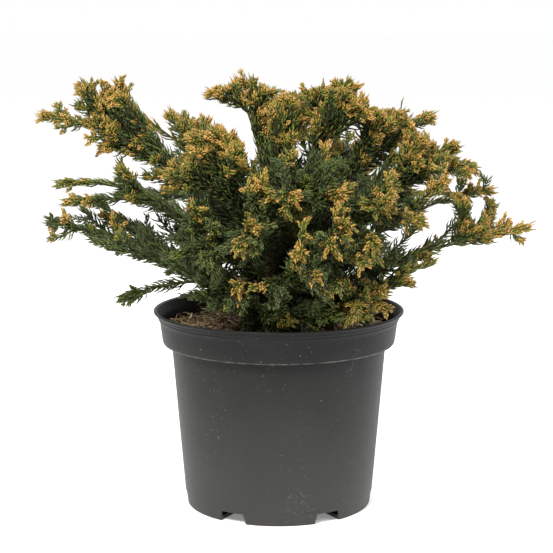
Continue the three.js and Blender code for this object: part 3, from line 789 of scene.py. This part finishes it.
needleMaterials = [plainTone(name, colour, (0.4, 0.6)) for name, colour in tones.items()]
sectors = {
    "LeftHigh": ("left_high", "left_inner"),
    "LeftLow": ("left_mid", "left_low", "left_under"),
    "FrontLeft": ("front_left_high", "front_left", "front_low"),
    "FrontCentre": ("front_centre", "front_high", "front_foot"),
    "FrontRight": ("front_right", "front_rim", "front_mid"),
    "Top": ("top_left", "top_mid", "top_right"),
    "RightHigh": ("right_top", "right_high", "right_mid"),
    "RightLow": ("right_end", "right_low", "right_bend"),
    "BackLeft": ("back_high", "back_left", "back_mid"),
    "BackRight": ("back_right", "back_low"),
}


def addNeedles(sector, names):
    inSector = np.isin(needleMass, [massNames.index(name) for name in names])
    corners = needleCorners[inSector]
    triangles = repeatFaces(np.array(footFaces + pointFaces), len(corners), corners.shape[1])
    faceTones = np.repeat(needleTones[inSector], (len(footFaces), len(pointFaces)), axis=1).ravel()
    made = joinedMesh("needles" + sector, corners.reshape(-1, 3), triangles, faceTones, needleMaterials)
    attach(made, "root")
    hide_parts(*["foliage_" + name for name in names])
    print("needles" + sector, len(triangles), "triangles")


for sector, names in sectors.items():
    addNeedles(sector, names)


# Twigs: tubes along every stem, side shoot and tip

twigKinds = namedRows("rings sides radius tone", {
    "stem": (9, 5, (1.3, 0.6), "twigBrown"),
    "side": (4, 4, (0.6, 0.4), "twigGreen"),
    "tip": (2, 3, (0.45, 0.3), "twigGreen"),
})
twigTones = {"twigBrown": (0.055, 0.040, 0.016), "twigGreen": (0.060, 0.060, 0.018)}


def growTwigs(shoots, kind):
    size, rings, around = len(shoots["mass"]), kind["rings"], kind["sides"]
    t = np.tile(np.linspace(0, 1, rings), size)
    centre, along = shootsAt(shoots, np.repeat(np.arange(size), rings), t)
    across = unit(np.cross(along, upWay + np.array([0.03, 0.01, 0])))
    other = np.cross(along, across)
    radius = between(kind["radius"], t)
    angles = (np.arange(around) * 2 * math.pi / around)[None, :, None]
    ring = across[:, None] * np.cos(angles) + other[:, None] * np.sin(angles)
    corners = (centre[:, None] + ring * radius[:, None, None]).reshape(-1, 3)
    last = (rings - 1) * around
    caps = np.array([(last, last + i, last + i + 1) for i in range(1, around - 1)])
    tube = np.concatenate([ringFaces(rings, around), caps])
    return corners, repeatFaces(tube, size, rings * around)


def addTwigs():
    shootKinds = {"stem": stems, "side": sides, "tip": tips}
    parts = [growTwigs(shoots, twigKinds[name]) for name, shoots in shootKinds.items()]
    corners, triangles = joinShapes(parts)
    kindTones = [list(twigTones).index(twigKinds[name]["tone"]) for name in shootKinds]
    faceTones = np.repeat(kindTones, [len(faces) for _, faces in parts])
    materials = [plainTone(name, colour) for name, colour in twigTones.items()]
    made = joinedMesh("twigs", corners, triangles, faceTones, materials)
    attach(made, "root")
    print("twigs", len(triangles), "triangles")


addTwigs()


# Bark: the trunk and the boughs with stringy relief

bark = {
    "trunkSides": 48, "trunkRings": 60, "boughSides": 12, "boughRings": 26,
    "ridgeDepth": 0.16, "ridgeSpread": 2.6, "ridgeRun": 0.055, "limbStep": 7.3,
    "fineShare": 0.5, "fineScale": 2.3,
    "dark": (0.055, 0.030, 0.017), "pale": (0.23, 0.125, 0.07), "stain": (0.12, 0.10, 0.075),
}


def limbSurface(curve, rings, around, radiusAt, seed):
    t = np.linspace(0, 1, rings)
    centre, along = curvePoints(curve, t)
    across = unit(np.cross(along, np.array([0.2, 1.0, 0.1])))
    other = np.cross(along, across)
    corners = np.empty((rings, around, 3))
    for ring in range(rings):
        depth = centre[ring][2] * bark["ridgeRun"] + seed * bark["limbStep"]
        for side in range(around):
            angle = side * 2 * math.pi / around
            cosine, sine = math.cos(angle), math.sin(angle)
            spot = Vector((cosine * bark["ridgeSpread"], sine * bark["ridgeSpread"], depth))
            ridge = noise.noise(spot) + bark["fineShare"] * noise.noise(spot * bark["fineScale"])
            radius = radiusAt(t[ring], angle) * (1 + bark["ridgeDepth"] * ridge)
            corners[ring, side] = centre[ring] + radius * (across[ring] * cosine + other[ring] * sine)
    last, top, foot = (rings - 1) * around, rings * around, rings * around + 1
    caps = [(last + i, last + (i + 1) % around, top) for i in range(around)]
    caps += [((i + 1) % around, i, foot) for i in range(around)]
    corners = np.concatenate([corners.reshape(-1, 3), centre[-1:], centre[:1]])
    return corners, np.concatenate([ringFaces(rings, around), np.array(caps)])


def trunkRadius(share, angle):
    flare = trunk["flare"] * math.exp(-share * trunk["flareFade"])
    lobes = 1 + trunk["lobeDepth"] * math.cos(trunk["lobes"] * angle)
    return between(trunk["radius"], share) + flare * lobes


def boughRadius(share, angle):
    return between(bough["radius"], share)


def barkMaterial():
    material, tree, shader = newMaterial("stringyBark", specular=0.25)
    strands = patches(tree, objectPlace(tree, (1, 1, 0.18)), 420, 0.35, 0.65)
    stains = patches(tree, objectPlace(tree), 60, 0.4, 0.7)
    tone = blendTones(tree, strands, bark["dark"], bark["pale"])
    feed(tree, shader.inputs["Base Color"], blendTones(tree, stains, tone, bark["stain"]))
    addGrain(tree, shader, objectPlace(tree, (1, 1, 0.2)), 700, 0.0004, (0.7, 0.95))
    return material


def addBark():
    material = barkMaterial()
    corners, faces = limbSurface(trunkLine, bark["trunkRings"], bark["trunkSides"], trunkRadius, 0)
    made = joinedMesh("trunkBark", corners, faces, np.zeros(len(faces)), [material])
    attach(made, "root")
    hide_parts("trunk")
    size = (bark["boughRings"], bark["boughSides"])
    parts = [limbSurface(limb, *size, boughRadius, number + 1) for number, limb in enumerate(limbs)]
    corners, faces = joinShapes(parts)
    made = joinedMesh("boughBark", corners, faces, np.zeros(len(faces)), [material])
    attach(made, "root")
    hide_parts(*["bough_" + name for name in massNames])
    print("bark", len(faces), "triangles on the boughs")


addBark()


# Pot: a thin moulded shell, spun from its profile, with six channels cut across its underside

pot = {
    "turns": 144,
    "cornerSteps": 4,
    # radius, height and corner radius, up the outside and down the inside
    "profile": (
        (0, 0, 0), (70.2, 0, 1.2), (71.4, 9.6, 0.3), (71.9, 10.2, 0.3), (81.4, 123.6, 0.4),
        (81.9, 124.5, 0.4), (87.8, 124.7, 1.6), (88.5, 127.4, 1.2), (90.3, 141.2, 1.2), (91.6, 143.6, 0.4),
        (91.4, 144.4, 0.3), (92.7, 145.8, 0.5), (92.6, 146.6, 0.3), (94.2, 147.9, 0.3), (94.9, 148.4, 0.5),
        (95, 149.5, 0.5), (94.2, 150.1, 0.5), (92.4, 149.5, 0.9), (88.8, 142.6, 1.5), (86.8, 127.3, 1),
        (80.1, 126.3, 1.5), (69.2, 3.2, 1.5), (0, 2.6, 0),
    ),
    "channels": 6, "firstChannel": 31, "channelFoot": 23, "channelTop": 18, "channelHeight": 8,
    "channelLength": 24, "footEdge": 70.7, "mouth": 76, "cutFrom": -3,
    "roof": 1.8, "roofFrom": 0.4, "fillBelow": 20, "fillTop": 60,
    "crease": 38,  # degrees
}
potLook = {
    "charcoal": (0.0060, 0.0063, 0.0062),
    # the dust tone, which also paints the floor's reflection low on the pot
    "dustAndReflectionTone": (0.052, 0.053, 0.050),
    "speckAndHighlightTone": (0.17, 0.17, 0.16),
    "clay": (0.060, 0.047, 0.035),
    "ledge": 0.1252,  # the collar's lower edge, with a painted highlight line broken into scuffs
    "scuffAndHighlightBand": (0.0009, 0.0002),  # from this far off the ledge, whole from that far
}


# the profile with each inner corner turned into a small arc
def roundedProfile(points, steps):
    rows = [np.array(points[0][:2], float)]
    for before, here, after in zip(points, points[1:], points[2:]):
        corner = np.array(here[:2], float)
        toBefore, toAfter = np.array(before[:2]) - corner, np.array(after[:2]) - corner
        cut = min(here[2], 0.45 * np.linalg.norm(toBefore), 0.45 * np.linalg.norm(toAfter))
        first, last = corner + unit(toBefore) * cut, corner + unit(toAfter) * cut
        rows += [onCurve(first, corner, last, t)[0] for t in np.linspace(0, 1, steps + 1)]
    rows.append(np.array(points[-1][:2], float))
    return rows


# a closed solid turned round the upright axis from a profile of radius and height
def spun(name, rows, turns):
    shape = bmesh.new()
    points = [shape.verts.new((row[0] * mm, 0, row[1] * mm)) for row in rows]
    edges = [shape.edges.new(pair) for pair in zip(points, points[1:])]
    bmesh.ops.spin(shape, geom=points + edges, axis=(0, 0, 1), cent=(0, 0, 0),
                   angle=2 * math.pi, steps=turns, use_merge=True)
    bmesh.ops.remove_doubles(shape, verts=shape.verts, dist=1e-6)
    bmesh.ops.dissolve_degenerate(shape, edges=shape.edges, dist=1e-6)
    bmesh.ops.recalc_face_normals(shape, faces=shape.faces)
    return finished(name, shape)


def finished(name, shape):
    mesh = bpy.data.meshes.new(name)
    shape.to_mesh(mesh)
    shape.free()
    made = bpy.data.objects.new(name, mesh)
    bpy.context.collection.objects.link(made)
    return made


# a channel's trapezium, grown by a margin, run from the pot's inside out past its wall
def channelBlock(angle, grown):
    shape = bmesh.new()
    foot, top = pot["channelFoot"] / 2 + grown, pot["channelTop"] / 2 + grown
    start = pot["footEdge"] - pot["channelLength"] - grown
    low = pot["roofFrom"] if grown else pot["cutFrom"]
    high = pot["channelHeight"] + grown
    ends = ((-foot, low), (foot, low), (top, high), (-top, high))
    face = shape.faces.new([shape.verts.new((x * mm, -start * mm, z * mm)) for x, z in ends])
    walls = bmesh.ops.extrude_face_region(shape, geom=[face])
    moved = [item for item in walls["geom"] if isinstance(item, bmesh.types.BMVert)]
    bmesh.ops.translate(shape, verts=moved, vec=(0, -(pot["mouth"] - start) * mm, 0))
    bmesh.ops.recalc_face_normals(shape, faces=shape.faces)
    turned = Matrix.Rotation(math.radians(angle), 3, "Z")
    bmesh.ops.rotate(shape, verts=shape.verts, cent=(0, 0, 0), matrix=turned)
    return shape


def joinBlocks(name, grown):
    whole = bpy.data.meshes.new(name)
    shape = bmesh.new()
    for number in range(pot["channels"]):
        block = channelBlock(pot["firstChannel"] + number * 360 / pot["channels"], grown)
        block.to_mesh(whole)
        block.free()
        shape.from_mesh(whole)
    bpy.data.meshes.remove(whole)
    return finished(name, shape)


def combine(target, tool, operation):
    modifier = target.modifiers.new(operation.lower(), "BOOLEAN")
    modifier.object, modifier.operation, modifier.solver = tool, operation, "EXACT"
    solid = target.evaluated_get(bpy.context.evaluated_depsgraph_get())
    mesh = bpy.data.meshes.new_from_object(solid)
    target.modifiers.clear()
    target.data = mesh


def potMaterial():
    material, tree, shader = newMaterial("scuffedPlastic", specular=0.15)
    place = objectPlace(tree)
    height = addNode(tree, "ShaderNodeSeparateXYZ", {"Vector": place}).outputs["Z"]
    hazeAndFloorReflection = patches(tree, place, 22, 0.36, 0.75, detail=7.0, top=0.1)
    # painted reflection of the pale floor: the body grows lighter towards its foot, over faint dust patches
    hazeAndFloorReflection = joinMasks(tree, hazeAndFloorReflection, maskBetween(tree, height, 0.135, -0.02, 0.84), "ADD")
    streaks = patches(tree, objectPlace(tree, (1, 1, 0.1)), 150, 0.6, 0.85, top=0.3)
    tone = blendTones(tree, joinMasks(tree, hazeAndFloorReflection, streaks), potLook["charcoal"], potLook["dustAndReflectionTone"])
    scuffs = patches(tree, place, 38, 0.6, 0.74, detail=3.0)
    scratches = patches(tree, objectPlace(tree, (0.7, 0.2, 1)), 520, 0.54, 0.68, top=0.34)
    scratches = joinMasks(tree, scratches, scuffs, "MULTIPLY")
    specks = patches(tree, place, 760, 0.79, 0.83, detail=0.0, top=0.5)
    specks = joinMasks(tree, specks, patches(tree, place, 30, 0.45, 0.6), "MULTIPLY")
    # painted highlight: a thin pale line along the collar's lower edge, broken into scuffs
    ledge, (none, full) = potLook["ledge"], potLook["scuffAndHighlightBand"]
    below = maskBetween(tree, height, ledge - none, ledge - full)
    above = maskBetween(tree, height, ledge + none, ledge + full)
    scuffedHighlight = joinMasks(tree, below, above, "MULTIPLY")
    edgePatches = patches(tree, place, 160, 0.35, 0.6, detail=6.0, top=0.5)
    scuffedHighlight = joinMasks(tree, scuffedHighlight, edgePatches, "MULTIPLY")
    marksAndHighlight = joinMasks(tree, joinMasks(tree, scratches, specks), scuffedHighlight)
    tone = blendTones(tree, marksAndHighlight, tone, potLook["speckAndHighlightTone"])
    splashes = maskBetween(tree, height, 0.011, 0.0, 0.5)
    soiled = joinMasks(tree, splashes, patches(tree, place, 70, 0.4, 0.65), "MULTIPLY")
    feed(tree, shader.inputs["Base Color"], blendTones(tree, soiled, tone, potLook["clay"]))
    addGrain(tree, shader, place, 1400, 0.00009, (0.4, 0.6))
    return material


def addPot():
    rows = roundedProfile(pot["profile"], pot["cornerSteps"])
    shell = spun("pottedShell", rows, pot["turns"])
    outside = [row for row in rows if row[1] < pot["fillBelow"]][: len(rows) // 2]
    filled = spun("filled", outside + [np.array([0.0, pot["fillTop"]])], pot["turns"])
    hoods, cuts = joinBlocks("hoods", pot["roof"]), joinBlocks("cuts", 0)
    combine(hoods, filled, "INTERSECT")
    combine(shell, hoods, "UNION")
    combine(shell, cuts, "DIFFERENCE")
    for extra in (filled, hoods, cuts):
        bpy.data.objects.remove(extra)
    mesh = shell.data
    smoothShaded(mesh)
    mesh.set_sharp_from_angle(angle=math.radians(pot["crease"]))
    mesh.materials.clear()
    mesh.materials.append(potMaterial())
    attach(shell, "root")
    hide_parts("pot")
    print("pot", len(mesh.polygons), "faces")


addPot()


# Soil: an uneven bed of peat, with shreds of bark and crumbs on it

bed = {
    "rings": 56, "turns": 160, "unevenness": 2.2, "evenMiddle": 30, "seed": 9,
    # radius, and height over the soil's top, down the wall and under the bed
    "underside": ((86.2, -6), (86.1, -9), (79.3, -10.3), (68.8, -126), (43, -126), (43, -134), (0, -134)),
    "shreds": 2600, "shredLength": (5, 19), "shredWidth": (0.7, 2.2), "shredThick": 0.45,
    "shredMargin": 3, "shredRise": (0.2, 2.2), "tilt": 0.28, "curl": 0.9, "twist": 0.1, "arch": 3,
    "slender": (14, 0.6),  # shreds past this length are narrower by this share
    "edgeMargin": 0.8, "straw": 26, "strawLength": 2.2,
    "crumbs": 1500, "crumbSize": (0.7, 2.0), "crumbMargin": 2.5, "crumbRise": 0.4,
}
bedTones = {
    "peat": (0.030, 0.020, 0.013),
    "earth": (0.070, 0.045, 0.028),
    "barkBrown": (0.240, 0.150, 0.080),
    "shredTan": (0.430, 0.310, 0.170),
    "straw": (0.600, 0.490, 0.290),
}
shredTones = {"earth": 0.15, "barkBrown": 0.33, "shredTan": 0.4, "straw": 0.12}
crumbTones = {"peat": 0.5, "earth": 0.3, "barkBrown": 0.2}


def bedHeight(x, y):
    radius = math.hypot(x, y)
    spot = Vector((x * 0.06, y * 0.06, bed["seed"]))
    rough = noise.noise(spot) + 0.5 * noise.noise(spot * 3.1) + 0.3 * noise.noise(spot * 9)
    return soilHeight(radius) + bed["unevenness"] * rough * min(1, radius / bed["evenMiddle"])


def bedMaterial():
    material, tree, shader = newMaterial("peatBed", specular=0.2)
    place = objectPlace(tree)
    damp = patches(tree, place, 320, 0.35, 0.65, detail=8.0)
    tone = blendTones(tree, damp, bedTones["peat"], bedTones["earth"])
    tone = blendTones(tree, patches(tree, place, 900, 0.58, 0.7), tone, bedTones["barkBrown"])
    feed(tree, shader.inputs["Base Color"], tone)
    addGrain(tree, shader, place, 900, 0.0012, (0.8, 1.0))
    return material


def addBed():
    top = [(radius, 0) for radius in np.linspace(0, soil["edgeRadius"], bed["rings"])]
    rows = [(radius, height + soil["top"]) for radius, height in top + list(bed["underside"])]
    made = spun("soilBed", rows, bed["turns"])
    for vertex in made.data.vertices:
        x, y, z = vertex.co / mm
        if z > soil["top"] - 1 and math.hypot(x, y) < soil["edgeRadius"]:
            vertex.co.z = bedHeight(x, y) * mm
    smoothShaded(made.data)
    made.data.materials.append(bedMaterial())
    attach(made, "root")
    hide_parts("soil")
    print("soil", len(made.data.polygons), "faces")


# places strewn evenly over the bed, on its surface
def strewn(dice, size, margin):
    radius = (soil["edgeRadius"] - margin) * np.sqrt(dice.random(size))
    around = dice.random(size) * 2 * math.pi
    x, y = radius * np.cos(around), radius * np.sin(around)
    return np.stack([x, y, [bedHeight(*spot) for spot in zip(x, y)]], 1)


def drawTones(dice, shares, size):
    numbers = [list(bedTones).index(name) for name in shares]
    return dice.choice(numbers, size, p=list(shares.values()))


# curled strips of bark and straw, four rings of four corners each
def addShreds():
    dice = np.random.default_rng(bed["seed"])
    size = bed["shreds"] + bed["straw"]
    place = strewn(dice, size, bed["shredMargin"])
    length = dice.uniform(*bed["shredLength"], size)
    length[bed["shreds"]:] *= bed["strawLength"]
    longer, narrow = bed["slender"]
    width = dice.uniform(*bed["shredWidth"], size) * np.where(length > longer, narrow, 1)
    heading = dice.random(size) * 2 * math.pi
    tilt = dice.normal(0, bed["tilt"], size)
    curl = dice.normal(0, bed["curl"], size)
    place[:, 2] += dice.uniform(*bed["shredRise"], size)
    corners = np.empty((size, 4, 4, 3))
    for ring, share in enumerate((-0.5, -0.17, 0.17, 0.5)):
        turn = heading + curl * share
        along = np.stack([np.cos(turn), np.sin(turn), np.tan(tilt)], 1)
        side = np.stack([-np.sin(turn), np.cos(turn), dice.normal(0, bed["twist"], size)], 1)
        centre = place + along * (length * share)[:, None]
        centre[:, 2] += bed["arch"] * np.abs(curl) * (0.25 - share * share)
        taper = (width * (1 - 0.5 * abs(share)) / 2)[:, None]
        for corner, (wide, high) in enumerate(((-1, -1), (1, -1), (1, 1), (-1, 1))):
            corners[:, ring, corner] = centre + side * taper * wide + upWay * bed["shredThick"] / 2 * high
    reach = np.hypot(corners[..., 0], corners[..., 1]).reshape(size, -1).max(1)
    keep = reach < soil["edgeRadius"] - bed["edgeMargin"]
    tube = np.concatenate([ringFaces(4, 4), [(0, 2, 1), (0, 3, 2), (12, 13, 14), (12, 14, 15)]])
    triangles = repeatFaces(tube, keep.sum(), 16)
    kinds = drawTones(dice, shredTones, size)
    kinds[bed["shreds"]:] = list(bedTones).index("straw")
    faceTones = np.repeat(kinds[keep], len(tube))
    made = joinedMesh("barkShreds", corners[keep].reshape(-1, 3), triangles, faceTones, bedMaterials)
    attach(made, "root")
    print("shreds", len(triangles), "triangles")


def addCrumbs():
    dice = np.random.default_rng(bed["seed"] + 1)
    ball = bmesh.new()
    bmesh.ops.create_icosphere(ball, subdivisions=1, radius=1)
    shape = np.array([vertex.co for vertex in ball.verts])
    faces = np.array([[vertex.index for vertex in face.verts] for face in ball.faces])
    ball.free()
    size = bed["crumbs"]
    place = strewn(dice, size, bed["crumbMargin"])
    girth = dice.uniform(*bed["crumbSize"], (size, 1, 1)) * dice.uniform(0.6, 1.2, (size, 1, 3))
    lumps = shape[None] * girth * dice.uniform(0.8, 1.15, (size, len(shape), 1))
    corners = lumps + (place + upWay * bed["crumbRise"])[:, None]
    triangles = repeatFaces(faces, size, len(shape))
    faceTones = np.repeat(drawTones(dice, crumbTones, size), len(faces))
    made = joinedMesh("peatCrumbs", corners.reshape(-1, 3), triangles, faceTones, bedMaterials)
    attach(made, "root")
    print("crumbs", len(triangles), "triangles")


bedMaterials = [plainTone(name, colour, (0.75, 0.95), 900, 0.0002, 0.2) for name, colour in bedTones.items()]
addBed()
addShreds()
addCrumbs()


# Stage

def addFloor():
    shape = bmesh.new()
    bmesh.ops.create_grid(shape, x_segments=1, y_segments=1, size=light["floorSize"])
    floor = finished("floor", shape)
    material, tree, shader = newMaterial("paleFloor", 0.9, 0.1)
    feed(tree, shader.inputs["Base Color"], light["floorTone"])
    feed(tree, shader.inputs["Emission Color"], light["sky"])
    feed(tree, shader.inputs["Emission Strength"], light["floorGlow"])
    floor.data.materials.append(material)


addFloor()
addCamera()
addSky()
for lampName in ("key", "fill", "rim"):
    addLamp(lampName, light[lampName])
